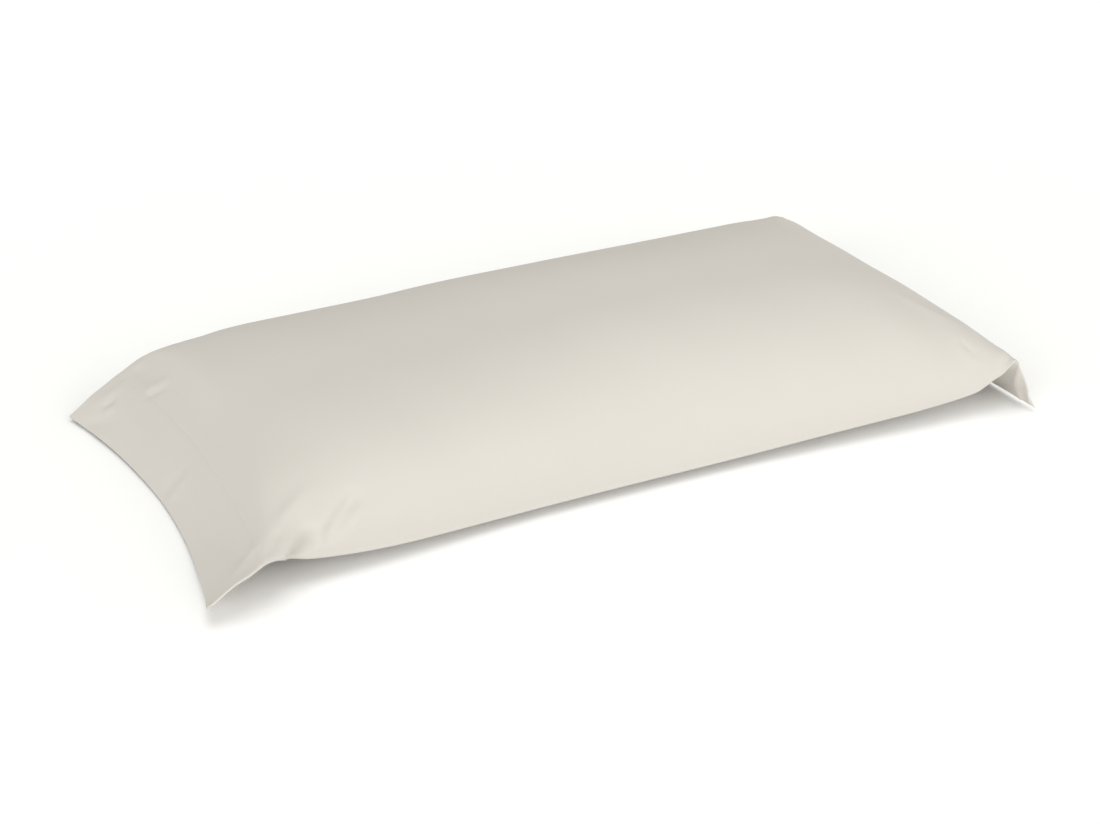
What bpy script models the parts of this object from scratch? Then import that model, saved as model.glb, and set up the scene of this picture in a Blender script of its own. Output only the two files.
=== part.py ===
"""A cotton pillowcase lying on a flat surface with its pillow inside, in metres, +Z up.

The case is a tube of cloth: folded along the near long side, seamed along the far one, and hemmed at
its two open ends. The pillow fills its middle, and both hemmed ends hang down past the pillow to the
surface, their two layers a little apart. X runs along the case, from the spread hem to the steep one.
"""

import math
from collections import namedtuple

import bpy
import numpy as np

# The cloth
CLOTH = 0.0012  # one layer, with its hem
GAP = 0.0012  # between the two layers at a mouth
STACK = 2 * CLOTH + GAP  # two layers and the gap between them
MOUTH_DEPTH = 4  # rings of the mesh that the slit of a mouth reaches in
SLIT_INSET = 0.985  # the slit's half width over the case's
SLIT_ENDS = 0.1  # the share of the gap that is left at the slit's two ends

# The filled body
PRESSED = 0.008  # how far the filling would sink below the surface if that didn't press it flat
NEAR_UNDER_ROUND = 0.15  # how full the near side is below its fold edge, over how full it is above
FAR_UNDER_ROUND = 1.5
SQUARE = 2.6  # how squarely a section turns down at its sides
CLOTH_COLOUR = (0.66, 0.62, 0.55, 1.0)
CLOTH_ROUGHNESS = 0.85

# The mesh
ACROSS = 30  # points across each face of a section
CROWDING = 0.45  # how strongly those points crowd towards the sides
PROFILE_STEPS = 240  # of the curve that each section's points are measured off along
STACK_POWER = 6  # how squarely the two layers' gap closes at the fold edges
EDGE_TANGENT = 1.6  # draws the profile's points together at the sides, where it is steepest
SHARP_EDGE = math.radians(50)  # between two faces that aren't shaded as one smooth surface

# Each section: where its near and far fold edges, crown and underside stand along X, how far out and
# how high those two edges are, the crown's height, how round its sides are, and the number of mesh
# rings up to the next one.
Section = namedtuple(
    "Section", "name x_near x_far x_crown x_under y_near y_far z_near z_far z_crown round rings"
)
SECTIONS = [
    Section("spread hem", -0.433, -0.430, -0.403, -0.400, -0.220, 0.214, 0.019, 0.004, STACK, 1.25, 4),
    Section("hem stitching", -0.400, -0.400, -0.385, -0.380, -0.222, 0.220, 0.037, 0.020, 0.025, 1.0, 4),
    Section("corner", -0.375, -0.355, -0.350, -0.350, -0.215, 0.220, 0.043, 0.045, 0.060, 1.25, 4),
    Section("pillow end", -0.330, -0.330, -0.325, -0.325, -0.196, 0.205, 0.025, 0.055, 0.085, 2.0, 4),
    Section("shoulder", -0.250, -0.250, -0.245, -0.245, -0.193, 0.200, 0.015, 0.050, 0.105, 2.25, 5),
    Section("deep middle", -0.100, -0.100, -0.100, -0.100, -0.185, 0.195, 0.010, 0.045, 0.110, 2.25, 5),
    Section("middle", 0.050, 0.050, 0.050, 0.050, -0.187, 0.195, 0.010, 0.045, 0.118, 1.7, 5),
    Section("slim middle", 0.200, 0.200, 0.190, 0.190, -0.196, 0.195, 0.015, 0.045, 0.115, 1.7, 4),
    Section("slope", 0.300, 0.300, 0.275, 0.275, -0.204, 0.200, 0.020, 0.045, 0.110, 1.7, 4),
    Section("steep side", 0.350, 0.345, 0.320, 0.330, -0.207, 0.205, 0.025, 0.050, 0.100, 1.5, 5),
    Section("steep crest", 0.390, 0.385, 0.385, 0.380, -0.215, 0.215, 0.053, 0.055, 0.065, 1.4, 5),
    Section("hang", 0.407, 0.405, 0.408, 0.404, -0.215, 0.220, 0.015, 0.035, 0.035, 1.25, 4),
    Section("steep hem", 0.409, 0.405, 0.408, 0.404, -0.225, 0.220, 0.004, 0.005, STACK, 1.0, 0),
]


def clear_scene():
    for thing in list(bpy.data.objects):
        bpy.data.objects.remove(thing, do_unlink=True)


def slopes(values):
    """Slopes at evenly spaced values for a curve through them that never overshoots."""
    steps = np.diff(values)
    found = np.empty(len(values))
    found[0], found[-1] = steps[0], steps[-1]
    for i in range(1, len(values) - 1):
        before, after = steps[i - 1], steps[i]
        found[i] = 2 * before * after / (before + after) if before * after > 0 else 0.0
    return found


def eased(values, places):
    """The values of a table's column at places between its rows."""
    values = np.asarray(values, float)
    tangents = slopes(values)
    row = np.clip(places.astype(int), 0, len(values) - 2)
    t = places - row
    return (
        (1 + 2 * t) * (1 - t) ** 2 * values[row]
        + t * (1 - t) ** 2 * tangents[row]
        + t * t * (3 - 2 * t) * values[row + 1]
        + t * t * (t - 1) * tangents[row + 1]
    )


def ring_sections():
    """One section for each ring of the mesh."""
    places = [np.linspace(i, i + 1, s.rings, endpoint=False) for i, s in enumerate(SECTIONS) if s.rings]
    places = np.append(np.concatenate(places), len(SECTIONS) - 1)
    columns = {
        field: eased([getattr(s, field) for s in SECTIONS], places)
        for field in Section._fields
        if field not in ("name", "rings")
    }
    return [Section("ring", rings=0, **{f: c[i] for f, c in columns.items()}) for i in range(len(places))]


def arch(across, roundness, square=SQUARE):
    """1 at the middle of a section, 0 at its fold edges; across runs from -1 to 1."""
    return np.maximum(1 - np.abs(across) ** square, 0) ** (1 / roundness)


def edge_height(section, across):
    return section.z_near * (1 - across) / 2 + section.z_far * (1 + across) / 2


def top_height(section, across):
    edge = edge_height(section, across)
    layers = 2 * CLOTH + GAP * arch(across, 1, STACK_POWER)
    return edge + layers + (section.z_crown - STACK - edge) * arch(across, section.round)


def under_height(section, across):
    """The underside, which the surface presses flat in the middle."""
    edge = edge_height(section, across) + PRESSED
    fuller = NEAR_UNDER_ROUND * (1 - across) / 2 + FAR_UNDER_ROUND * (1 + across) / 2
    roundness = 1 + (section.round - 1) * fuller
    return np.maximum(edge * (1 - arch(across, roundness)) - PRESSED, 0)


def face_points(section, height, x_middle):
    """Points across one face of a section, near edge to far edge, spaced along its curve."""
    across = np.linspace(-1, 1, PROFILE_STEPS + 1)
    across = np.sign(across) * (1 - (1 - np.abs(across)) ** EDGE_TANGENT)
    y = (section.y_near + section.y_far) / 2 + (section.y_far - section.y_near) / 2 * across
    z = height(section, across)
    run = np.concatenate([[0], np.cumsum(np.hypot(np.diff(y), np.diff(z)))])
    share = np.linspace(0, 1, ACROSS)
    share = (1 - CROWDING) * share + CROWDING * (1 - np.cos(math.pi * share)) / 2
    across, y, z = (np.interp(share * run[-1], run, values) for values in (across, y, z))
    x = (section.x_near + section.x_far) / 2 + (section.x_far - section.x_near) / 2 * across
    x += (x_middle - (section.x_near + section.x_far) / 2) * (1 - across**2)
    return np.stack([x, y, z], axis=1)


def outward(face):
    """Unit normals of a face given as rings of points, pointing up out of it."""
    along = np.gradient(face, axis=0)
    over = np.gradient(face, axis=1)
    normal = np.cross(along, over)
    return normal / np.linalg.norm(normal, axis=2, keepdims=True)


def slit_faces(top):
    """The two faces of a mouth's slit: the top layer's inner side, and the face below it."""
    inward = -outward(top)
    across = np.linspace(-1, 1, ACROSS)[:, None]
    narrowed = np.array([1, SLIT_INSET, 1])
    upper = (top + inward * CLOTH) * narrowed
    opening = GAP * (SLIT_ENDS + (1 - SLIT_ENDS) * arch(across, 1, STACK_POWER))
    return upper, upper + inward * opening


def build_mesh(name):
    rings = ring_sections()
    top = np.array([face_points(s, top_height, s.x_crown) for s in rings])
    under = np.array([face_points(s, under_height, s.x_under) for s in rings])
    upper, lower = slit_faces(top)

    def loop(a, b):
        return np.concatenate([a, b[::-1]])

    last = len(rings) - 1
    loops = [loop(upper[i], lower[i]) for i in range(MOUTH_DEPTH, -1, -1)]
    loops += [loop(top[i], under[i]) for i in range(len(rings))]
    loops += [loop(upper[i], lower[i]) for i in range(last, last - MOUTH_DEPTH - 1, -1)]

    around = 2 * ACROSS
    faces = []
    for i in range(len(loops) - 1):
        for j in range(around):
            a, b = i * around + j, i * around + (j + 1) % around
            faces.append((a, a + around, b + around, b))
    end = (len(loops) - 1) * around
    for j in range(ACROSS - 1):
        opposite = around - 1 - j
        faces.append((j, j + 1, opposite - 1, opposite))
        faces.append((end + j + 1, end + j, end + opposite, end + opposite - 1))

    points = np.concatenate(loops)
    middle = (points.min(axis=0) + points.max(axis=0)) / 2
    points -= np.array([middle[0], middle[1], 0])
    mesh = bpy.data.meshes.new(name)
    mesh.from_pydata(points.tolist(), [], faces)
    mesh.shade_smooth()
    mesh.set_sharp_from_angle(angle=SHARP_EDGE)
    return mesh


def cotton():
    material = bpy.data.materials.new("cotton")
    material.use_nodes = True
    shader = material.node_tree.nodes["Principled BSDF"]
    shader.inputs["Base Color"].default_value = CLOTH_COLOUR
    shader.inputs["Roughness"].default_value = CLOTH_ROUGHNESS
    shader.inputs["Metallic"].default_value = 0.0
    return material


def build():
    clear_scene()
    case = bpy.data.objects.new("case", build_mesh("case"))
    case.data.materials.append(cotton())
    bpy.context.scene.collection.objects.link(case)


build()
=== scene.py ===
import functools
import math
from collections import namedtuple

import bpy
import numpy as np
from mathutils import Matrix, Vector


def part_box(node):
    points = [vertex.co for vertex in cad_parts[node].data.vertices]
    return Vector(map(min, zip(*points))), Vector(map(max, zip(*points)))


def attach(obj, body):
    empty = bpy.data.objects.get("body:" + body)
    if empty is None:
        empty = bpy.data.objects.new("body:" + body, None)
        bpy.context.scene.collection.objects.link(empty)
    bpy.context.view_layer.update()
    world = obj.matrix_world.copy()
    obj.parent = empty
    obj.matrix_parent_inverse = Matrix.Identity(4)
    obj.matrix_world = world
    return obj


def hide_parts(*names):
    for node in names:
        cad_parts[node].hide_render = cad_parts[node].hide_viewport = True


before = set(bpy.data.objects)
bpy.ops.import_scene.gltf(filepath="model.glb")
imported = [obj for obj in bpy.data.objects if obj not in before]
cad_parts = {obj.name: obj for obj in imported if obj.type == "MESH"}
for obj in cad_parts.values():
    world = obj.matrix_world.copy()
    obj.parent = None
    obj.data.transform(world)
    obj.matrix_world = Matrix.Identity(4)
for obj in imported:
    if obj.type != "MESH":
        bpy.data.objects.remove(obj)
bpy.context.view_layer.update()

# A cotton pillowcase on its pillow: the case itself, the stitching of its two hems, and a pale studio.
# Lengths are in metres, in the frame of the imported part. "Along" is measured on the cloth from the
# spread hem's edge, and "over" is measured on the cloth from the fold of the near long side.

bl_info = {
    "name": "Pillowcase",
    "version": (1, 0, 0),
    "blender": (4, 5, 0),
    "location": "View3D > Sidebar > Pillowcase",
    "description": "Builds a filled cotton pillowcase with its hems, stitching and a pale studio",
    "category": "Object",
}

BODY = "root"
CLOTH_MAP = "cloth"  # UV map in metres of cloth

# ---------------------------------------------------------------------------------------------------
# The filled shape
# ---------------------------------------------------------------------------------------------------

PART_LAYER = 0.0012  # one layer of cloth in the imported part
PART_GAP = 0.0012  # between the part's two layers at a mouth
STACK = 2 * PART_LAYER + PART_GAP
PRESSED = 0.008  # how far the filling would sink below the surface if that didn't press it flat
NEAR_UNDER_ROUND = 0.15  # how full the near side is below its fold edge, over how full it is above
FAR_UNDER_ROUND = 1.5
SQUARE = 2.6  # how squarely a section turns down at its sides
STACK_POWER = 6  # how squarely the two layers' gap closes at the fold edges
EDGE_TANGENT = 1.6  # draws a profile's points together at the sides, where it is steepest
ACROSS = 121  # points across each face
CROWDING = 0.45  # how strongly those points crowd towards the sides
PROFILE_STEPS = 960

# Each section: where its near and far fold edges, crown and underside stand along X, how far out and
# how high those two edges are, the crown's height, how round its sides are, and the number of mesh
# rings up to the next one.
Section = namedtuple(
    "Section", "name x_near x_far x_crown x_under y_near y_far z_near z_far z_crown round rings"
)
SECTIONS = [
    Section("spread hem", -0.433, -0.430, -0.403, -0.400, -0.220, 0.214, 0.019, 0.004, STACK, 1.25, 24),
    Section("hem stitching", -0.400, -0.400, -0.385, -0.380, -0.222, 0.220, 0.037, 0.020, 0.025, 1.0, 26),
    Section("corner", -0.375, -0.355, -0.350, -0.350, -0.215, 0.220, 0.043, 0.045, 0.060, 1.25, 18),
    Section("pillow end", -0.330, -0.330, -0.325, -0.325, -0.196, 0.205, 0.025, 0.055, 0.085, 2.0, 28),
    Section("shoulder", -0.250, -0.250, -0.245, -0.245, -0.193, 0.200, 0.015, 0.050, 0.105, 2.25, 28),
    Section("deep middle", -0.100, -0.100, -0.100, -0.100, -0.185, 0.195, 0.010, 0.045, 0.110, 2.25, 26),
    Section("middle", 0.050, 0.050, 0.050, 0.050, -0.187, 0.195, 0.010, 0.045, 0.118, 1.7, 28),
    Section("slim middle", 0.200, 0.200, 0.190, 0.190, -0.196, 0.195, 0.015, 0.045, 0.115, 1.7, 18),
    Section("slope", 0.300, 0.300, 0.275, 0.275, -0.204, 0.200, 0.020, 0.045, 0.110, 1.7, 16),
    Section("steep side", 0.350, 0.345, 0.320, 0.330, -0.207, 0.205, 0.025, 0.050, 0.100, 1.5, 26),
    Section("steep crest", 0.390, 0.385, 0.385, 0.380, -0.215, 0.215, 0.053, 0.055, 0.065, 1.4, 20),
    Section("hang", 0.407, 0.405, 0.408, 0.404, -0.215, 0.220, 0.015, 0.035, 0.035, 1.25, 20),
    Section("steep hem", 0.409, 0.405, 0.408, 0.404, -0.225, 0.220, 0.004, 0.005, STACK, 1.0, 0),
]

# ---------------------------------------------------------------------------------------------------
# The creases
# ---------------------------------------------------------------------------------------------------

# Each crease runs through three places on the cloth (along, over). It is a ridge where its height is
# above 0 and a trough where it is below, and its width is from its line to where it has mostly
# levelled out. Lean makes its flank on the left of its run steeper (1) or gentler (-1). The fades are
# the shares of its length over which its two ends die away.
Crease = namedtuple("Crease", "name a0 o0 a1 o1 a2 o2 width height lean fade_in fade_out")
TOP_CREASES = [
    Crease("flap fold", 0.016, 0.010, 0.048, 0.026, 0.072, 0.024, 0.0080, 0.0016, 0.0, 0.35, 0.45),
    Crease("brow trough", 0.064, 0.002, 0.0765, 0.0185, 0.088, 0.0310, 0.0045, -0.0018, 0.0, 0.30, 0.45),
    Crease("pinch ridge", 0.079, -0.003, 0.0895, 0.0105, 0.110, 0.0350, 0.0058, 0.0027, -0.3, 0.0, 0.5),
    Crease("pinch trough", 0.0940, -0.002, 0.1030, 0.0090, 0.120, 0.0280, 0.0068, -0.0075, 0.2, 0.0, 0.35),
    Crease("shoulder bend", 0.084, 0.028, 0.1050, 0.0495, 0.140, 0.0760, 0.0070, 0.0016, 0.6, 0.4, 0.5),
    Crease("shoulder hollow", 0.074, 0.038, 0.0965, 0.0600, 0.131, 0.0870, 0.0150, -0.0010, -1.0, 0.4, 0.5),
    Crease("second trough", 0.121, 0.009, 0.1400, 0.0320, 0.168, 0.0580, 0.0068, -0.0052, 0.2, 0.30, 0.30),
    Crease("second ridge", 0.138, 0.012, 0.1530, 0.0290, 0.178, 0.0490, 0.0075, 0.0012, 0.0, 0.3, 0.4),
    Crease("side swell", 0.098, 0.024, 0.1500, 0.0280, 0.215, 0.0280, 0.0150, 0.0014, 0.0, 0.3, 0.5),
    Crease("hem crease", -0.004, 0.238, 0.0225, 0.2290, 0.046, 0.2200, 0.0075, -0.0011, 0.3, 0.3, 0.4),
    Crease("hem crease ridge", -0.004, 0.224, 0.0225, 0.2150, 0.046, 0.2060, 0.0090, 0.0009, 0.0, 0.3, 0.4),
    Crease("far tuck", 0.022, 0.4125, 0.0300, 0.4095, 0.0385, 0.4060, 0.0028, -0.0016, 0.0, 0.3, 0.3),
    Crease("far tuck ridge", 0.020, 0.4085, 0.0265, 0.4000, 0.033, 0.3920, 0.0045, 0.0012, 0.0, 0.3, 0.4),
    Crease("far flap trough", 0.002, 0.425, 0.0100, 0.3985, 0.026, 0.3620, 0.0080, -0.0016, 0.0, 0.4, 0.4),
    Crease("far flap ridge", 0.016, 0.430, 0.0380, 0.4210, 0.062, 0.4110, 0.0080, 0.0014, 0.0, 0.4, 0.4),
    Crease("corner hollow", 0.081, 0.430, 0.0740, 0.4050, 0.0667, 0.3700, 0.0090, -0.0022, 0.0, 0.35, 0.4),
    Crease("far streak", 0.060, 0.3780, 0.0740, 0.3655, 0.089, 0.3510, 0.0045, 0.0016, 0.0, 0.3, 0.4),
    Crease("streak trough", 0.053, 0.3710, 0.0660, 0.3590, 0.081, 0.3460, 0.0036, -0.0016, 0.0, 0.3, 0.4),
    Crease("crest fold", 0.764, 0.1580, 0.7860, 0.1120, 0.812, 0.0620, 0.0085, 0.0014, -0.3, 0.5, 0.3),
    Crease("crest trough", 0.794, 0.1500, 0.8060, 0.1140, 0.824, 0.0760, 0.0110, -0.0012, 0.0, 0.4, 0.4),
    Crease("steep streak", 0.7960, 0.0540, 0.8010, 0.0370, 0.810, 0.0180, 0.0036, -0.0018, 0.3, 0.3, 0.4),
    Crease("crest edge", 0.818, 0.0900, 0.8280, 0.0450, 0.846, 0.0080, 0.0090, 0.0014, 0.0, 0.5, 0.2),
    Crease("hidden trough", 0.806, 0.4300, 0.7940, 0.4120, 0.776, 0.3900, 0.0060, -0.0005, 0.2, 0.3, 0.5),
    Crease("hidden ridge", 0.824, 0.4280, 0.8120, 0.4060, 0.792, 0.3800, 0.0080, 0.0008, 0.0, 0.3, 0.5),
    Crease("hidden dimple", 0.120, 0.4280, 0.1400, 0.4200, 0.168, 0.4060, 0.0070, -0.0016, 0.0, 0.3, 0.5),
]
# On the underside, over is measured from the same fold.
UNDER_CREASES = [
    Crease("ear bend", 0.853, 0.0020, 0.8740, 0.0115, 0.894, 0.0210, 0.0080, 0.0022, -0.6, 0.25, 0.1),
    Crease("slack fold", 0.098, 0.0900, 0.1040, 0.1500, 0.099, 0.2200, 0.0120, -0.0035, 0.0, 0.4, 0.4),
    Crease("next slack fold", 0.124, 0.1900, 0.1300, 0.2600, 0.120, 0.3300, 0.0110, -0.0028, 0.0, 0.4, 0.4),
    Crease("steep fold", 0.792, 0.0900, 0.7860, 0.1600, 0.793, 0.2400, 0.0120, -0.0034, 0.0, 0.4, 0.4),
    Crease("next steep fold", 0.766, 0.2100, 0.7620, 0.2700, 0.770, 0.3400, 0.0110, -0.0026, 0.0, 0.4, 0.4),
]
FOLD_HOLD = 0.030  # how far past a fold edge the underside still moves as that edge does
CREASE_STEPS = 32  # straight steps that stand for a crease's curve
CREASE_REACH = 4  # how far from its line a crease is felt, in widths
LEAN_SHARE = 0.5  # how much a full lean narrows one flank and widens the other

# Each pull moves both layers of a small stretch of cloth, by x, y and z at its middle and less further
# out. Its reaches are how far out, along and over, it has mostly died away.
Pull = namedtuple("Pull", "name along over reach_along reach_over x y z")
PULLS = [
    Pull("ear below its corner", 0.865, 0.0, 0.010, 0.022, -0.0018, 0.0008, 0.0),
    Pull("ear above its tip", 0.892, 0.0, 0.008, 0.018, 0.0014, -0.0006, 0.0),
    Pull("crest before the far corner", 0.806, 0.400, 0.026, 0.030, 0.0, 0.0, 0.0036),
    Pull("far corner's tip", 0.834, 0.424, 0.014, 0.018, 0.0, 0.0, -0.0032),
    Pull("far edge before its corner", 0.730, 0.366, 0.035, 0.040, 0.0, 0.0, -0.0014),
    Pull("side before the ear", 0.836, 0.0, 0.010, 0.012, 0.0, 0.0, -0.0030),
    Pull("crest beside the ear", 0.840, 0.038, 0.022, 0.026, 0.0, 0.0, -0.0038),
]

# The hems
HEM_RISE = 0.00025  # of a hem's doubled cloth over the single cloth
HEM_RISE_WIDTH = 0.003
GROOVE_DEPTH = 0.0003  # of the stitching's line
GROOVE_WIDTH = 0.0016
PUCKER_HEIGHT = 0.00012  # of the small ripples that the stitching draws up
PUCKER_REACH = 0.006  # how far they reach from its line
PUCKER_PITCHES = (0.0071, 0.0113)  # of two sets of ripples that mix
SEAM_DEPTH = 0.0007  # how far the far side's seam draws in

WAVES = 7  # of the filling's soft unevenness
WAVE_HEIGHT = 0.0004
WAVE_LENGTHS = (0.09, 0.24)
WAVE_SEED = 11
WAVE_FADE = 0.06  # from a fold edge to where the unevenness is full

FOLD_STEPS = 3  # points that round each fold edge
LEAST_TURN = 0.05  # of a fold edge, in radians, below which it counts as straight
RIM_STEPS = 3  # rings that round a hem's rim
TOUCHING = 0.035  # along from a mouth to where its two layers part
LAYER_INSET = 0.003  # how far the lower layer of a mouth stands back
INSET_FADE = 0.030
MOUTH_DEEP = 0.025  # how far a mouth's slit reaches in
SLIT_EDGE = 0.0035  # from a fold edge to the end of a slit
SLIT_ENDS = 0.1  # the share of the gap that is left there
LEAST_STACK = 0.98  # the share of the layers' thickness that the top keeps above the floor at a mouth
FREE_STACK = 0.5  # how much of that it keeps away from the mouths


def smooth(t):
    """From 0 to 1, level at both ends."""
    t = np.clip(t, 0, 1)
    return t * t * (3 - 2 * t)


def slopes(values):
    """Slopes at evenly spaced values for a curve through them that never overshoots."""
    steps = np.diff(values)
    found = np.empty(len(values))
    found[0], found[-1] = steps[0], steps[-1]
    for i in range(1, len(values) - 1):
        before, after = steps[i - 1], steps[i]
        found[i] = 2 * before * after / (before + after) if before * after > 0 else 0.0
    return found


def eased(values, places):
    """The values of a table's column at places between its rows."""
    values = np.asarray(values, float)
    tangents = slopes(values)
    row = np.clip(places.astype(int), 0, len(values) - 2)
    t = places - row
    return (
        (1 + 2 * t) * (1 - t) ** 2 * values[row]
        + t * (1 - t) ** 2 * tangents[row]
        + t * t * (3 - 2 * t) * values[row + 1]
        + t * t * (t - 1) * tangents[row + 1]
    )


def ring_sections():
    """One section for each ring of the mesh."""
    places = [np.linspace(i, i + 1, s.rings, endpoint=False) for i, s in enumerate(SECTIONS) if s.rings]
    places = np.append(np.concatenate(places), len(SECTIONS) - 1)
    columns = {
        field: eased([getattr(s, field) for s in SECTIONS], places)
        for field in Section._fields
        if field not in ("name", "rings")
    }
    return [Section("ring", rings=0, **{f: c[i] for f, c in columns.items()}) for i in range(len(places))]


def arch(across, roundness, square=SQUARE):
    """1 at the middle of a section, 0 at its fold edges; across runs from -1 to 1."""
    return np.maximum(1 - np.abs(across) ** square, 0) ** (1 / roundness)


def edge_height(section, across):
    return section.z_near * (1 - across) / 2 + section.z_far * (1 + across) / 2


def top_height(section, across):
    edge = edge_height(section, across)
    layers = 2 * PART_LAYER + PART_GAP * arch(across, 1, STACK_POWER)
    return edge + layers + (section.z_crown - STACK - edge) * arch(across, section.round)


def under_height(section, across):
    """The underside, which the surface presses flat in the middle."""
    edge = edge_height(section, across) + PRESSED
    fuller = NEAR_UNDER_ROUND * (1 - across) / 2 + FAR_UNDER_ROUND * (1 + across) / 2
    roundness = 1 + (section.round - 1) * fuller
    return np.maximum(edge * (1 - arch(across, roundness)) - PRESSED, 0)


def face_points(section, height, x_middle):
    """Points across one face of a section, near edge to far edge, spaced along its curve."""
    across = np.linspace(-1, 1, PROFILE_STEPS + 1)
    across = np.sign(across) * (1 - (1 - np.abs(across)) ** EDGE_TANGENT)
    y = (section.y_near + section.y_far) / 2 + (section.y_far - section.y_near) / 2 * across
    z = height(section, across)
    run = np.concatenate([[0], np.cumsum(np.hypot(np.diff(y), np.diff(z)))])
    share = np.linspace(0, 1, ACROSS)
    share = (1 - CROWDING) * share + CROWDING * (1 - np.cos(math.pi * share)) / 2
    across, y, z = (np.interp(share * run[-1], run, values) for values in (across, y, z))
    x = (section.x_near + section.x_far) / 2 + (section.x_far - section.x_near) / 2 * across
    x += (x_middle - (section.x_near + section.x_far) / 2) * (1 - across**2)
    return np.stack([x, y, z], axis=1)


def outward(face):
    """Unit normals of a face given as rings of points, pointing up out of it."""
    normal = np.cross(np.gradient(face, axis=0), np.gradient(face, axis=1))
    return normal / np.linalg.norm(normal, axis=2, keepdims=True)


def measured(face, axis):
    """How far each point of a face lies along its cloth, in rings (axis 0) or across (axis 1)."""
    steps = np.linalg.norm(np.diff(face, axis=axis), axis=2)
    padding = [(0, 0), (0, 0)]
    padding[axis] = (1, 0)
    return np.cumsum(np.pad(steps, padding), axis=axis)


def crease_path(crease):
    """Points along a crease's run, which curves through its three places."""
    start, middle, end = np.reshape(crease[1:7], (3, 2))
    control = 2 * middle - (start + end) / 2
    t = np.linspace(0, 1, CREASE_STEPS + 1)[:, None]
    return (1 - t) ** 2 * start + 2 * t * (1 - t) * control + t * t * end


def beside(path, spots):
    """For each spot, how far it is from the path, its place from 0 to 1 along it, and on which side."""
    first, step = path[:-1], np.diff(path, axis=0)
    away = spots[:, None, :] - first[None]
    share = np.clip((away * step).sum(axis=2) / (step**2).sum(axis=1), 0, 1)
    gap = away - share[:, :, None] * step
    distance = np.linalg.norm(gap, axis=2)
    nearest = distance.argmin(axis=1)
    rows = np.arange(len(spots))
    distance, share, gap = distance[rows, nearest], share[rows, nearest], gap[rows, nearest]
    side = np.sign(step[nearest, 0] * gap[:, 1] - step[nearest, 1] * gap[:, 0])
    return distance, (nearest + share) / len(first), side


def crease_lift(crease, along, over):
    """How far a crease lifts each point of the cloth."""
    path = crease_path(crease)
    reach = CREASE_REACH * crease.width
    low, high = path.min(axis=0) - reach, path.max(axis=0) + reach
    near = (along > low[0]) & (along < high[0]) & (over > low[1]) & (over < high[1])
    lift = np.zeros_like(along)
    if not near.any():
        return lift
    distance, place, side = beside(path, np.stack([along[near], over[near]], axis=1))
    fade = np.ones(len(place))
    if crease.fade_in:
        fade *= smooth(place / crease.fade_in)
    if crease.fade_out:
        fade *= smooth((1 - place) / crease.fade_out)
    width = crease.width * (1 - LEAN_SHARE * crease.lean * side)
    lift[near] = crease.height * fade * np.exp(-((distance / width) ** 2))
    return lift


def filling_waves(along, over):
    """The filling's soft unevenness, which dies away towards the fold edges."""
    random = np.random.default_rng(WAVE_SEED)
    width = over.max(axis=1, keepdims=True)
    total = np.zeros_like(along)
    for _ in range(WAVES):
        length = random.uniform(*WAVE_LENGTHS)
        turn = random.uniform(0, math.pi)
        phase = random.uniform(0, 2 * math.pi)
        total += np.sin(2 * math.pi * (along * math.cos(turn) + over * math.sin(turn)) / length + phase)
    inward = smooth(np.minimum(over, width - over) / WAVE_FADE)
    return WAVE_HEIGHT * total / math.sqrt(WAVES) * inward


def from_mouth(along):
    """How far each point is from the nearer mouth, measured along the cloth."""
    return np.minimum(along, along[-1:] - along)


def hem_relief(along, over, hem_width):
    """A hem's doubled cloth stands proud, and its stitching draws a puckered groove."""
    past = from_mouth(along) - hem_width
    rise = HEM_RISE * (1 - smooth(past / HEM_RISE_WIDTH))
    groove = GROOVE_DEPTH * np.exp(-((past / GROOVE_WIDTH) ** 2))
    pucker = sum(np.sin(2 * math.pi * over / pitch) for pitch in PUCKER_PITCHES)
    return rise - groove + PUCKER_HEIGHT * pucker * np.exp(-((past / PUCKER_REACH) ** 2))


def pulled(along, over):
    """How far the pulls draw each point of the cloth."""
    total = np.zeros((*along.shape, 3))
    for pull in PULLS:
        off_along = (along - pull.along) / pull.reach_along
        off_over = (over - pull.over) / pull.reach_over
        share = np.exp(-(off_along**2 + off_over**2))
        total += share[:, :, None] * np.array([pull.x, pull.y, pull.z])
    return total


def narrowed(face, over):
    """A face drawn in from its two fold edges, as the inside of a slit is."""
    width = over[:, -1:]
    places = SLIT_EDGE + over * (width - 2 * SLIT_EDGE) / width
    rows = range(len(face))
    columns = [[np.interp(places[i], over[i], face[i, :, k]) for i in rows] for k in range(3)]
    return np.stack(columns, axis=2)


def set_back(face, along):
    """The face with its two ends drawn back along the cloth, as the lower layer of a mouth lies."""
    moved = face.copy()
    length = along[-1]
    for j in range(face.shape[1]):
        back = LAYER_INSET * (1 - smooth(along[:, j] / INSET_FADE))
        back -= LAYER_INSET * (1 - smooth((length[j] - along[:, j]) / INSET_FADE))
        for k in range(3):
            moved[:, j, k] = np.interp(along[:, j] + back, along[:, j], face[:, j, k])
    return moved


def filled_faces():
    """The top and the underside of the plain filled case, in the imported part's place."""
    rings = ring_sections()
    top = np.array([face_points(s, top_height, s.x_crown) for s in rings])
    under = np.array([face_points(s, under_height, s.x_under) for s in rings])
    everything = np.concatenate([top, under]).reshape(-1, 3)
    low, high = (np.array(corner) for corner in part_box("case"))
    shift = (low + high) / 2 - (everything.min(axis=0) + everything.max(axis=0)) / 2
    shift[2] = 0
    return top + shift, under + shift


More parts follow.
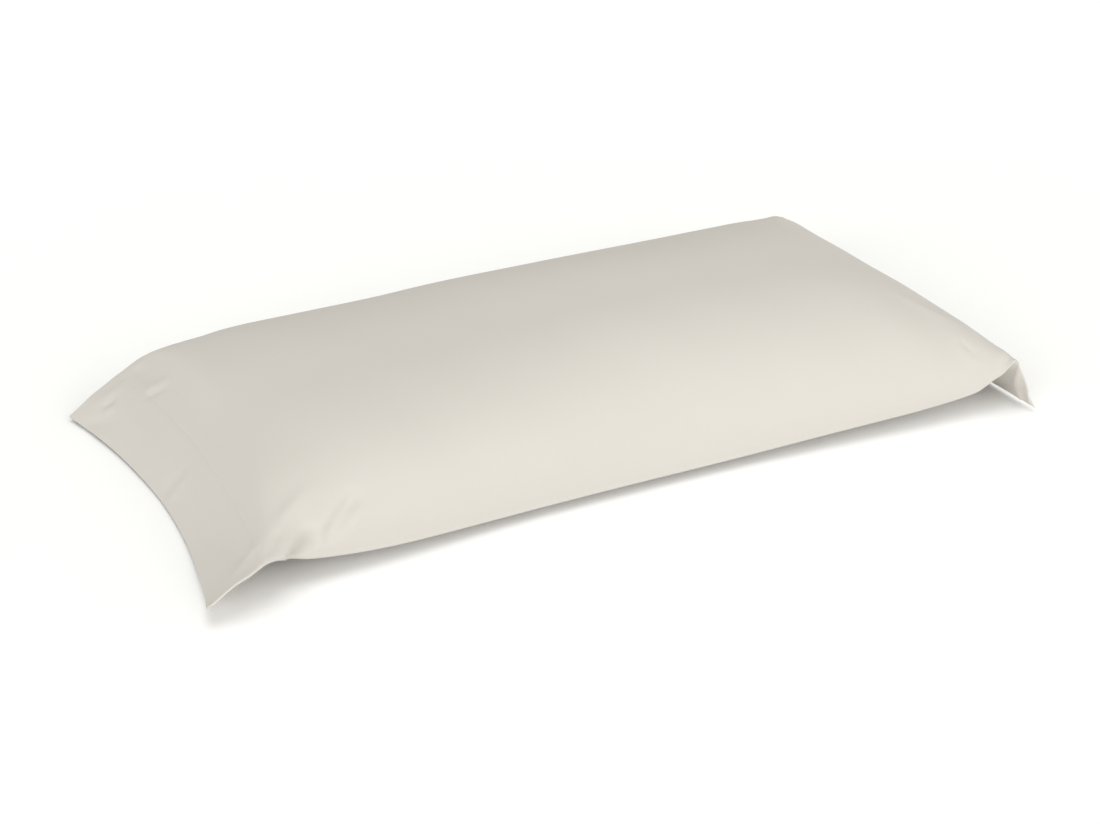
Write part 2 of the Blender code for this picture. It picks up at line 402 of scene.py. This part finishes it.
class CaseSurface:
    """The case's faces, as rings of points from the spread hem to the steep one.

    The top and under faces are the cloth's outside. The upper and lower ones are the two sides of the
    slit that a mouth opens between them.
    """

    def __init__(self, layer, gap, crease_depth, hem_width):
        top, under = filled_faces()
        self.along, self.over = measured(top, 0), measured(top, 1)
        normal = outward(top)
        self.stack = 2 * layer + gap
        self.lips = (1 - smooth(from_mouth(self.along) / TOUCHING))[:, :, None]
        top[:, :, 2] -= (STACK - self.stack) * self.lips[:, :, 0]
        under = under + (top - normal * self.stack - under) * self.lips
        self.under_along, self.under_over = measured(under, 0), measured(under, 1)

        move, under_move = self.creased(normal, crease_depth)
        move += normal * hem_relief(self.along, self.over, hem_width)[:, :, None]
        under_lift = self.under_lift(crease_depth, hem_width)
        under_move -= outward(under) * under_lift[:, :, None]
        self.lay_down(top + move, under + under_move)
        self.open_mouths(layer, gap)

    def creased(self, normal, crease_depth):
        """How the top's creases move it, and how they take the underside along."""
        lift = crease_depth * sum(crease_lift(c, self.along, self.over) for c in TOP_CREASES)
        lift += filling_waves(self.along, self.over)
        move = normal * lift[:, :, None]
        width = self.under_over[:, -1:]
        near_hold = 1 - smooth(self.under_over / FOLD_HOLD)
        far_hold = 1 - smooth((width - self.under_over) / FOLD_HOLD)
        under_move = move[:, :1] * near_hold[:, :, None] + move[:, -1:] * far_hold[:, :, None]
        under_move += (move - under_move) * self.lips
        return move, under_move

    def under_lift(self, crease_depth, hem_width):
        """How far the underside's own creases and hems lift it."""
        along, over = self.under_along, self.under_over
        lift = crease_depth * sum(crease_lift(c, along, over) for c in UNDER_CREASES)
        return lift + hem_relief(along, over, hem_width)

    def lay_down(self, top, under):
        """The two faces after the pulls, with no part of them below the floor."""
        pull = pulled(self.along, self.over)
        top, under = top + pull, under + pull
        under[:, :, 2] = np.maximum(under[:, :, 2], 0)
        kept = self.stack * np.minimum(self.lips[:, :, 0] + FREE_STACK, 1) * LEAST_STACK
        top[:, :, 2] = np.maximum(top[:, :, 2], kept)
        self.top, self.under = top, set_back(under, self.under_along)
        self.normal, self.under_normal = outward(self.top), -outward(self.under)

    def open_mouths(self, layer, gap):
        """The two sides of the slits, and the rings that the slits reach in to."""
        across = np.linspace(-1, 1, ACROSS)[:, None]
        opening = gap * (SLIT_ENDS + (1 - SLIT_ENDS) * arch(across, 1, STACK_POWER))
        self.upper = narrowed(self.top - self.normal * layer, self.over)
        self.lower = set_back(self.upper - narrowed(self.normal, self.over) * opening, self.along)
        run = self.along[:, ACROSS // 2]
        self.spread_deep = int(np.searchsorted(run, MOUTH_DEEP))
        self.steep_deep = int(np.searchsorted(run, run[-1] - MOUTH_DEEP))


@functools.lru_cache(maxsize=2)
def case_surface(layer, gap, crease_depth, hem_width):
    return CaseSurface(layer, gap, crease_depth, hem_width)


def length_of(vectors):
    return np.linalg.norm(vectors, axis=-1, keepdims=True)


def between(steps):
    """Evenly spaced shares strictly between 0 and 1."""
    return np.linspace(0, 1, steps + 2)[1:-1]


def folded_edge(a, a_before, b, b_before):
    """Points between the edge a of one face and the edge b of the other, as near an arc as can be."""
    out_a, out_b = a - a_before, b - b_before
    out_a, out_b = out_a / length_of(out_a), out_b / length_of(out_b)
    turn = np.arccos(np.clip(-(out_a * out_b).sum(axis=-1, keepdims=True), -1, 1))
    turn = np.maximum(turn, LEAST_TURN)
    reach = length_of(b - a) * np.tan(turn / 4) / np.sin(turn / 2) * 2 / 3
    points = []
    for t in between(FOLD_STEPS):
        s = 1 - t
        from_a = s**3 * a + 3 * s * s * t * (a + out_a * reach)
        points.append(from_a + 3 * s * t * t * (b + out_b * reach) + t**3 * b)
    return points


def straight_edge(a, b):
    return [a + (b - a) * t for t in between(FOLD_STEPS)]


def outer_loops(surface):
    """One closed loop of points for each ring of the case's outside."""
    top, under = surface.top, surface.under
    far = folded_edge(top[:, -1], top[:, -2], under[:, -1], under[:, -2])
    seam = far[FOLD_STEPS // 2]
    inward = (top[:, -2] + under[:, -2]) / 2 - seam
    seam += SEAM_DEPTH * inward / length_of(inward)
    near = folded_edge(under[:, 0], under[:, 1], top[:, 0], top[:, 1])
    columns = [top[:, j] for j in range(ACROSS)] + far
    columns += [under[:, j] for j in range(ACROSS - 1, -1, -1)] + near
    return np.stack(columns, axis=1)


def slit_loops(surface):
    """One closed loop of points for each ring inside the case's mouths."""
    upper, lower = surface.upper, surface.lower
    columns = [upper[:, j] for j in range(ACROSS)] + straight_edge(upper[:, -1], lower[:, -1])
    columns += [lower[:, j] for j in range(ACROSS - 1, -1, -1)]
    columns += straight_edge(lower[:, 0], upper[:, 0])
    return np.stack(columns, axis=1)


def rim_loops(inner, outer, next_outer):
    """Loops that round a hem's rim, from its inside to its outside."""
    out = outer - next_outer
    out /= length_of(out)
    bulge = length_of(outer - inner) / 2
    loops = []
    for t in between(RIM_STEPS):
        across = inner + (outer - inner) * (1 - math.cos(math.pi * t)) / 2
        loops.append(across + out * bulge * math.sin(math.pi * t))
    return loops


def case_mesh(surface):
    """The case as one closed skin: in one mouth's slit, round the outside, and in the other slit."""
    outer, slit = outer_loops(surface), slit_loops(surface)
    last = len(outer) - 1
    loops = [slit[i] for i in range(surface.spread_deep, -1, -1)]
    loops += rim_loops(slit[0], outer[0], outer[1])
    loops += list(outer)
    loops += rim_loops(slit[last], outer[last], outer[last - 1])[::-1]
    loops += [slit[i] for i in range(last, surface.steep_deep - 1, -1)]

    around = outer.shape[1]
    faces = []
    for i in range(len(loops) - 1):
        for j in range(around):
            a, b = i * around + j, i * around + (j + 1) % around
            faces.append((a, a + around, b + around, b))
    end = (len(loops) - 1) * around
    faces += floor_faces(0, around, False) + floor_faces(end, around, True)
    mesh = bpy.data.meshes.new("pillowcase")
    mesh.from_pydata(np.concatenate(loops).tolist(), [], faces)
    add_cloth_map(mesh, loops)
    mesh.shade_smooth()
    return mesh


def floor_faces(start, around, turned):
    """The faces that close a slit's inner end, between its two sides."""
    faces = []
    edge = ACROSS - 1
    for j in range(edge):
        opposite = 2 * ACROSS + FOLD_STEPS - 1 - j
        quad = (start + j, start + j + 1, start + opposite - 1, start + opposite)
        faces.append(quad[::-1] if turned else quad)
    far = tuple(start + edge + k for k in range(FOLD_STEPS + 2))
    near = tuple(start + (2 * ACROSS + FOLD_STEPS - 1 + k) % around for k in range(FOLD_STEPS + 2))
    faces += [far[::-1], near[::-1]] if turned else [far, near]
    return faces


def add_cloth_map(mesh, loops):
    """A UV map in metres of cloth: along the case, and round it from the near fold to the far seam."""
    rings = np.array(loops)
    rings = np.concatenate([rings, rings[:, :1]], axis=1)
    along, round_it = measured(rings, 0), measured(rings, 1)
    left, right = round_it[:, :-1].copy(), round_it[:, 1:].copy()
    for side in (left, right):
        side[:, ACROSS + FOLD_STEPS // 2 :] -= round_it[:, -1:]
    corners = [
        np.stack([along[:-1, :-1], left[:-1]], axis=2),
        np.stack([along[1:, :-1], left[1:]], axis=2),
        np.stack([along[1:, 1:], right[1:]], axis=2),
        np.stack([along[:-1, 1:], right[:-1]], axis=2),
    ]
    spots = np.zeros((len(mesh.loops), 2), np.float32)
    quads = np.stack(corners, axis=2).reshape(-1, 2)
    spots[: len(quads)] = quads
    mesh.uv_layers.new(name=CLOTH_MAP).uv.foreach_set("vector", spots.ravel())


# ---------------------------------------------------------------------------------------------------
# Shader nodes
# ---------------------------------------------------------------------------------------------------


class Wire:
    """One output socket. Python's own operators on it add Math nodes."""

    def __init__(self, shader, socket):
        self.shader = shader
        self.socket = socket

    def maths(self, operation, first, second):
        return self.shader.node("ShaderNodeMath", {"operation": operation}, {0: first, 1: second})

    def __add__(self, other):
        return self.maths("ADD", self, other)

    __radd__ = __add__

    def __sub__(self, other):
        return self.maths("SUBTRACT", self, other)

    def __rsub__(self, other):
        return self.maths("SUBTRACT", other, self)

    def __mul__(self, other):
        return self.maths("MULTIPLY", self, other)

    __rmul__ = __mul__


class Shader:
    """A material and its nodes."""

    def __init__(self, name):
        self.material = bpy.data.materials.new(name)
        self.material.use_nodes = True
        self.tree = self.material.node_tree
        self.tree.nodes.clear()

    def node(self, kind, settings=None, inputs=None, output=0):
        """Adds a node: its settings first, then the values or wires of its sockets."""
        made = self.tree.nodes.new(kind)
        for name, value in (settings or {}).items():
            setattr(made, name, value)
        for name, value in (inputs or {}).items():
            if isinstance(value, Wire):
                self.tree.links.new(value.socket, made.inputs[name])
            else:
                made.inputs[name].default_value = value
        return Wire(self, made.outputs[output]) if made.outputs else None

    def sine(self, value):
        return self.node("ShaderNodeMath", {"operation": "SINE"}, {0: value})

    def size_of(self, value):
        return self.node("ShaderNodeMath", {"operation": "ABSOLUTE"}, {0: value})

    def place(self):
        """Where a point is on its own piece, in metres."""
        return self.node("ShaderNodeTexCoord", output=3)

    def stretched(self, vector, by):
        return self.node("ShaderNodeVectorMath", {"operation": "MULTIPLY"}, {0: vector, 1: by})

    def noise(self, vector, scale, detail=2.0):
        return self.node("ShaderNodeTexNoise", {}, {"Vector": vector, "Scale": scale, "Detail": detail})

    def mixed(self, factor, first, second):
        """A colour between two colours."""
        sockets = {0: factor, 6: first, 7: second}
        return self.node("ShaderNodeMix", {"data_type": "RGBA"}, sockets, output=2)

    def finish(self, surface):
        self.node("ShaderNodeOutputMaterial", {}, {"Surface": surface})
        return self.material


def tinted(colour, share):
    return tuple(c * share for c in colour) + (1.0,)


# The cotton's finish. The noises' scales are in patches for each metre of cloth.
SLUB_ALONG = 12.0  # of the uneven stretches along a thread
SLUB_ACROSS = 900.0  # and from one thread to the next
PATCH_SCALE = 7.0
COTTON_TINTS = (0.95, 1.02)  # its darkest and lightest, as shares of its colour
TONE_SHARES = (0.45, 0.35, 0.2)  # of the slubs, the patches and the weave in its tint
ROUGHNESS_RANGE = 0.06
FIBRE_SCALE = 2500.0  # of the sewing thread
FIBRE_HEIGHT = 0.0002
# the thread's darkest and lightest, as shares of the cloth's colour: the twist varies it, and its lower
# tone is painted shade of the stitching's groove
THREAD_SHADED_TINTS = (0.88, 1.0)
THREAD_ROUGHNESS = (0.6, 0.2)  # at its least, and how much more it may be
SPECKLE_SCALE = 3.0  # of the floor
FLOOR_TINTS = (0.99, 1.0)


def cotton_material(look):
    """Plain-weave cotton: fine threads at right angles, a little uneven, with a soft bloom."""
    s = Shader("cotton")
    cloth = s.node("ShaderNodeUVMap", {"uv_map": CLOTH_MAP})
    along = s.node("ShaderNodeSeparateXYZ", {}, {0: cloth})
    round_it = Wire(s, along.socket.node.outputs[1])
    turn = math.pi / look.thread_pitch
    weave = s.size_of(s.sine(along * turn) * s.sine(round_it * turn))
    long_threads = s.noise(s.stretched(cloth, (SLUB_ALONG, SLUB_ACROSS, 1.0)), 1.0)
    cross_threads = s.noise(s.stretched(cloth, (SLUB_ACROSS, SLUB_ALONG, 1.0)), 1.0)
    slub = (long_threads + cross_threads) * 0.5
    patches = s.noise(s.place(), PATCH_SCALE, 3.0)
    dark, light = (tinted(look.colour, share) for share in COTTON_TINTS)
    slub_share, patch_share, weave_share = TONE_SHARES
    tone = slub * slub_share + patches * patch_share + weave * weave_share
    height = weave * look.weave_depth + slub * look.slub_depth
    bump = s.node("ShaderNodeBump", {}, {"Strength": 1.0, "Distance": 1.0, "Height": height})
    surface = s.node(
        "ShaderNodeBsdfPrincipled",
        {},
        {
            "Base Color": s.mixed(tone, dark, light),
            "Roughness": look.roughness + ROUGHNESS_RANGE * (slub - 0.5),
            "Sheen Weight": look.sheen,
            "Sheen Roughness": 0.5,
            "Specular IOR Level": 0.25,
            "Normal": bump,
        },
    )
    return s.finish(surface)


def thread_material(look):
    """Spun sewing thread: its twist, and a tone below the cloth's that is painted shade of the stitching's
    groove.
    """
    s = Shader("sewing thread")
    fibres = s.noise(s.place(), FIBRE_SCALE)
    bump = s.node("ShaderNodeBump", {}, {"Strength": 0.5, "Distance": FIBRE_HEIGHT, "Height": fibres})
    # the thread's tone below the cloth's is painted shade of the groove that the stitching sits in
    dark, light = (tinted(look.colour, share) for share in THREAD_SHADED_TINTS)
    least, more = THREAD_ROUGHNESS
    surface = s.node(
        "ShaderNodeBsdfPrincipled",
        {},
        {
            "Base Color": s.mixed(fibres, dark, light),
            "Roughness": least + more * fibres,
            "Normal": bump,
        },
    )
    return s.finish(surface)


def floor_material(studio):
    """A plain pale floor without gloss, very faintly speckled."""
    s = Shader("pale floor")
    speckle = s.noise(s.place(), SPECKLE_SCALE)
    dark, light = (tinted(studio.floor_colour, share) for share in FLOOR_TINTS)
    surface = s.node(
        "ShaderNodeBsdfPrincipled",
        {},
        {"Base Color": s.mixed(speckle, dark, light), "Roughness": 0.9, "Specular IOR Level": 0.0},
    )
    return s.finish(surface)


# ---------------------------------------------------------------------------------------------------
# Stitches
# ---------------------------------------------------------------------------------------------------

STITCH_PROUD = 0.1  # how far a stitch's middle line stands over the cloth, in thread radii
STITCH_DIP = 1.3  # how much deeper its two ends lie
STITCH_TAPER = 0.55  # how much thinner its ends are, over its middle
STITCH_SIDES = 6
STITCH_RINGS = 5


def vectors_at(where, run, vectors):
    """The vectors at those places of a line whose points lie at run."""
    return np.stack([np.interp(where, run, vectors[:, k]) for k in range(3)], axis=1)


def spots_on(face, normal, along, distance, pitch):
    """Places, run and normals of stitches on a face's line that is that far from its first ring."""
    columns = range(face.shape[1])
    line, line_normal = (
        np.array([[np.interp(distance, along[:, j], values[:, j, k]) for k in range(3)] for j in columns])
        for values in (face, normal)
    )
    run = np.concatenate([[0], np.cumsum(np.linalg.norm(np.diff(line, axis=0), axis=1))])
    places = np.arange(pitch / 2, run[-1], pitch)
    ahead, behind = places + pitch / 4, places - pitch / 4
    way = vectors_at(ahead, run, line) - vectors_at(behind, run, line)
    up = vectors_at(places, run, line_normal)
    return vectors_at(places, run, line), way / length_of(way), up / length_of(up)


def stitch_mesh(name, spots, length, radius):
    """Each stitch is a short arched rod whose two ends dip into the cloth."""
    sides, steps = STITCH_SIDES, STITCH_RINGS
    turn = np.arange(sides) * 2 * math.pi / sides
    vertices, faces = [], []
    for centre, way, up in spots:
        side = np.cross(way, up)
        base = len(vertices)
        for t in np.linspace(-1, 1, steps):
            thick = radius * (1 - STITCH_TAPER * t * t)
            middle = centre + way * t * length / 2 + up * radius * (STITCH_PROUD - STITCH_DIP * t * t)
            for angle in turn:
                vertices.append(middle + thick * (side * math.cos(angle) + up * math.sin(angle)))
        for i in range(steps - 1):
            for j in range(sides):
                a, b = base + i * sides + j, base + i * sides + (j + 1) % sides
                faces.append((a, a + sides, b + sides, b))
        faces.append(tuple(base + j for j in range(sides)))
        faces.append(tuple(base + (steps - 1) * sides + j for j in range(sides))[::-1])
    mesh = bpy.data.meshes.new(name)
    mesh.from_pydata([tuple(v) for v in vertices], [], faces)
    mesh.shade_smooth()
    return mesh


# ---------------------------------------------------------------------------------------------------
# Sizes and colours that a user would change
# ---------------------------------------------------------------------------------------------------


class CaseSizes(bpy.types.PropertyGroup):
    layer: bpy.props.FloatProperty(
        name="Hem thickness",
        description="Thickness of one hemmed layer of cloth",
        default=0.0008,
        unit="LENGTH",
    )
    gap: bpy.props.FloatProperty(
        name="Mouth gap",
        description="Gap between the two layers at a mouth",
        default=0.0006,
        unit="LENGTH",
    )
    crease_depth: bpy.props.FloatProperty(
        name="Crease depth",
        description="How strongly the cloth is creased",
        default=1.0,
        subtype="FACTOR",
    )


class CottonLook(bpy.types.PropertyGroup):
    colour: bpy.props.FloatVectorProperty(
        name="Colour",
        description="Colour of the cotton",
        default=(0.585, 0.555, 0.515),
        subtype="COLOR",
        size=3,
    )
    roughness: bpy.props.FloatProperty(
        name="Roughness", description="Roughness of the cotton", default=0.88, subtype="FACTOR"
    )
    sheen: bpy.props.FloatProperty(
        name="Bloom",
        description="Strength of the fibres' soft bloom",
        default=0.08,
        subtype="FACTOR",
    )
    thread_pitch: bpy.props.FloatProperty(
        name="Thread pitch",
        description="Distance between two threads",
        default=0.0004,
        unit="LENGTH",
    )
    weave_depth: bpy.props.FloatProperty(
        name="Weave depth",
        description="Height of the threads' crossings",
        default=0.000012,
        unit="LENGTH",
    )
    slub_depth: bpy.props.FloatProperty(
        name="Slub depth",
        description="Height of the threads' uneven stretches",
        default=0.000012,
        unit="LENGTH",
    )


class StitchSizes(bpy.types.PropertyGroup):
    hem_width: bpy.props.FloatProperty(
        name="Hem width",
        description="From a hem's edge to its stitching",
        default=0.058,
        unit="LENGTH",
    )
    length: bpy.props.FloatProperty(
        name="Stitch length", description="Length of one stitch", default=0.0026, unit="LENGTH"
    )
    pitch: bpy.props.FloatProperty(
        name="Stitch pitch",
        description="From one stitch to the next",
        default=0.0032,
        unit="LENGTH",
    )
    thread: bpy.props.FloatProperty(
        name="Thread", description="Radius of the sewing thread", default=0.00022, unit="LENGTH"
    )


class StudioLook(bpy.types.PropertyGroup):
    floor_colour: bpy.props.FloatVectorProperty(
        name="Floor",
        description="Colour of the floor",
        default=(0.97, 0.97, 0.97),
        subtype="COLOR",
        size=3,
    )
    floor_size: bpy.props.FloatProperty(
        name="Floor size", description="Side of the floor", default=24.0, unit="LENGTH"
    )
    sky: bpy.props.FloatVectorProperty(
        name="Sky",
        description="Colour and strength of the even light from all round",
        default=(0.40, 0.40, 0.37),
        subtype="COLOR",
        size=3,
        soft_max=2.0,
    )
    softness: bpy.props.FloatProperty(
        name="Softness",
        description="How wide each lamp looks from the case",
        default=math.radians(50),
        subtype="ANGLE",
    )
    azimuth: bpy.props.FloatProperty(
        name="Azimuth",
        description="Where the camera stands round the case",
        default=math.radians(-25.8),
        subtype="ANGLE",
    )
    elevation: bpy.props.FloatProperty(
        name="Elevation",
        description="How high the camera stands",
        default=math.radians(26.6),
        subtype="ANGLE",
    )
    roll: bpy.props.FloatProperty(
        name="Roll",
        description="How far the camera leans",
        default=math.radians(-1.4),
        subtype="ANGLE",
    )
    distance: bpy.props.FloatProperty(
        name="Distance",
        description="From the camera to what it looks at",
        default=2.09,
        unit="LENGTH",
    )
    lens: bpy.props.FloatProperty(name="Lens", description="Focal length in millimetres", default=73.0)


# Wide soft white lamps: where each stands in degrees, and its strength.
Lamp = namedtuple("Lamp", "name azimuth elevation strength")
LAMPS = (
    Lamp("front left lamp", -60, 15, 1.7),
    Lamp("front lamp", 20, 10, 1.25),
    Lamp("right lamp", 60, 30, 0.6),
    Lamp("top lamp", 0, 89, 1.1),
)
LAMP_DISTANCE = 3.0
CAMERA_AIM = (-0.038, -0.086, 0.05)  # what the camera looks at, near the front of the case
SENSOR_WIDTH = 36.0  # millimetres
FLOOR_DROP = 0.0003  # keeps the floor just clear of the cloth that lies on it


def settings():
    return bpy.context.scene.pillowcase


class PillowcaseSettings(bpy.types.PropertyGroup):
    sizes: bpy.props.PointerProperty(
        type=CaseSizes, name="Sizes", description="Sizes of the case"
    )
    cotton: bpy.props.PointerProperty(
        type=CottonLook, name="Cotton", description="Look of the cotton"
    )
    stitches: bpy.props.PointerProperty(
        type=StitchSizes, name="Stitches", description="Sizes of the stitches"
    )
    studio: bpy.props.PointerProperty(
        type=StudioLook, name="Studio", description="Floor, light and camera"
    )


def placed(name, mesh, material):
    piece = bpy.data.objects.new(name, mesh)
    piece.data.materials.append(material)
    bpy.context.scene.collection.objects.link(piece)
    return piece


class PILLOWCASE_OT_case(bpy.types.Operator):
    """Builds the filled case with its folds, creases and open hems"""

    bl_idname = "pillowcase.case"
    bl_label = "Pillowcase"

    def execute(self, context):
        sizes = settings().sizes
        surface = case_surface(sizes.layer, sizes.gap, sizes.crease_depth, settings().stitches.hem_width)
        piece = placed("pillowcase", case_mesh(surface), cotton_material(settings().cotton))
        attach(piece, BODY)
        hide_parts("case")
        return {"FINISHED"}


class PILLOWCASE_OT_stitching(bpy.types.Operator):
    """Sews the two hems, on both layers of the cloth"""

    bl_idname = "pillowcase.stitching"
    bl_label = "Hem stitching"

    def execute(self, context):
        sizes, stitches = settings().sizes, settings().stitches
        surface = case_surface(sizes.layer, sizes.gap, sizes.crease_depth, stitches.hem_width)
        thread = thread_material(settings().cotton)
        faces = (
            (surface.top, surface.normal, surface.along),
            (surface.under, surface.under_normal, surface.under_along),
        )
        for name, turned in (("spread_hem_stitching", False), ("steep_hem_stitching", True)):
            spots = []
            for face, normal, along in faces:
                if turned:
                    face, normal, along = face[::-1], normal[::-1], along[-1:] - along[::-1]
                found = spots_on(face, normal, along, stitches.hem_width, stitches.pitch)
                spots += list(zip(*found))
            piece = placed(name, stitch_mesh(name, spots, stitches.length, stitches.thread), thread)
            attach(piece, BODY)
        return {"FINISHED"}


class PILLOWCASE_OT_stage(bpy.types.Operator):
    """Sets up the floor, the soft light and the camera"""

    bl_idname = "pillowcase.stage"
    bl_label = "Studio"

    def execute(self, context):
        studio = settings().studio
        half = studio.floor_size / 2
        mesh = bpy.data.meshes.new("floor")
        corners = [(-half, -half), (half, -half), (half, half), (-half, half)]
        mesh.from_pydata([(x, y, -FLOOR_DROP) for x, y in corners], [], [(0, 1, 2, 3)])
        placed("floor", mesh, floor_material(studio))
        add_sky(studio.sky)
        for lamp in LAMPS:
            add_lamp(lamp, studio.softness)
        add_camera(studio)
        context.scene.view_settings.view_transform = "Standard"
        return {"FINISHED"}


def direction(azimuth, elevation):
    """Where a camera or lamp stands: azimuth 0 is in front of the near side, looking along +Y."""
    level = math.cos(elevation)
    return Vector((math.sin(azimuth) * level, -math.cos(azimuth) * level, math.sin(elevation)))


def add_sky(colour):
    world = bpy.data.worlds.new("studio")
    world.use_nodes = True
    world.node_tree.nodes["Background"].inputs["Color"].default_value = (*colour, 1.0)
    bpy.context.scene.world = world


def add_lamp(lamp, softness):
    light = bpy.data.lights.new(lamp.name, "SUN")
    light.energy, light.angle = lamp.strength, softness
    holder = bpy.data.objects.new(lamp.name, light)
    back = direction(math.radians(lamp.azimuth), math.radians(lamp.elevation))
    holder.location = back * LAMP_DISTANCE
    holder.rotation_euler = back.to_track_quat("Z", "Y").to_euler()
    bpy.context.scene.collection.objects.link(holder)


def add_camera(studio):
    back = direction(studio.azimuth, studio.elevation)
    right = Vector((0, 0, 1)).cross(back).normalized()
    up = back.cross(right)
    lean_right = right * math.cos(studio.roll) + up * math.sin(studio.roll)
    lean_up = up * math.cos(studio.roll) - right * math.sin(studio.roll)
    camera = bpy.data.objects.new("camera", bpy.data.cameras.new("camera"))
    camera.data.lens = studio.lens
    camera.data.sensor_width = SENSOR_WIDTH
    turn = Matrix((lean_right, lean_up, back)).transposed()
    place = Vector(CAMERA_AIM) + back * studio.distance
    camera.matrix_world = Matrix.Translation(place) @ turn.to_4x4()
    bpy.context.scene.collection.objects.link(camera)
    bpy.context.scene.camera = camera


class VIEW3D_PT_pillowcase(bpy.types.Panel):
    bl_label = "Pillowcase"
    bl_idname = "VIEW3D_PT_pillowcase"
    bl_space_type = "VIEW_3D"
    bl_region_type = "UI"
    bl_category = "Pillowcase"

    def draw(self, context):
        layout = self.layout
        for name in ("sizes", "cotton", "stitches", "studio"):
            group = getattr(context.scene.pillowcase, name)
            box = layout.box()
            box.label(text=name.capitalize())
            for prop in group.bl_rna.properties:
                if prop.identifier not in ("rna_type", "name"):
                    box.prop(group, prop.identifier)
        for operator in OPERATORS:
            layout.operator(operator.bl_idname)


OPERATORS = (PILLOWCASE_OT_case, PILLOWCASE_OT_stitching, PILLOWCASE_OT_stage)
GROUPS = (CaseSizes, CottonLook, StitchSizes, StudioLook, PillowcaseSettings)
CLASSES = (*GROUPS, *OPERATORS, VIEW3D_PT_pillowcase)


def register():
    for each in CLASSES:
        bpy.utils.register_class(each)
    bpy.types.Scene.pillowcase = bpy.props.PointerProperty(type=PillowcaseSettings)


def unregister():
    del bpy.types.Scene.pillowcase
    for each in reversed(CLASSES):
        bpy.utils.unregister_class(each)


def main():
    register()
    bpy.ops.pillowcase.case()
    bpy.ops.pillowcase.stitching()
    bpy.ops.pillowcase.stage()


if __name__ == "__main__":
    main()
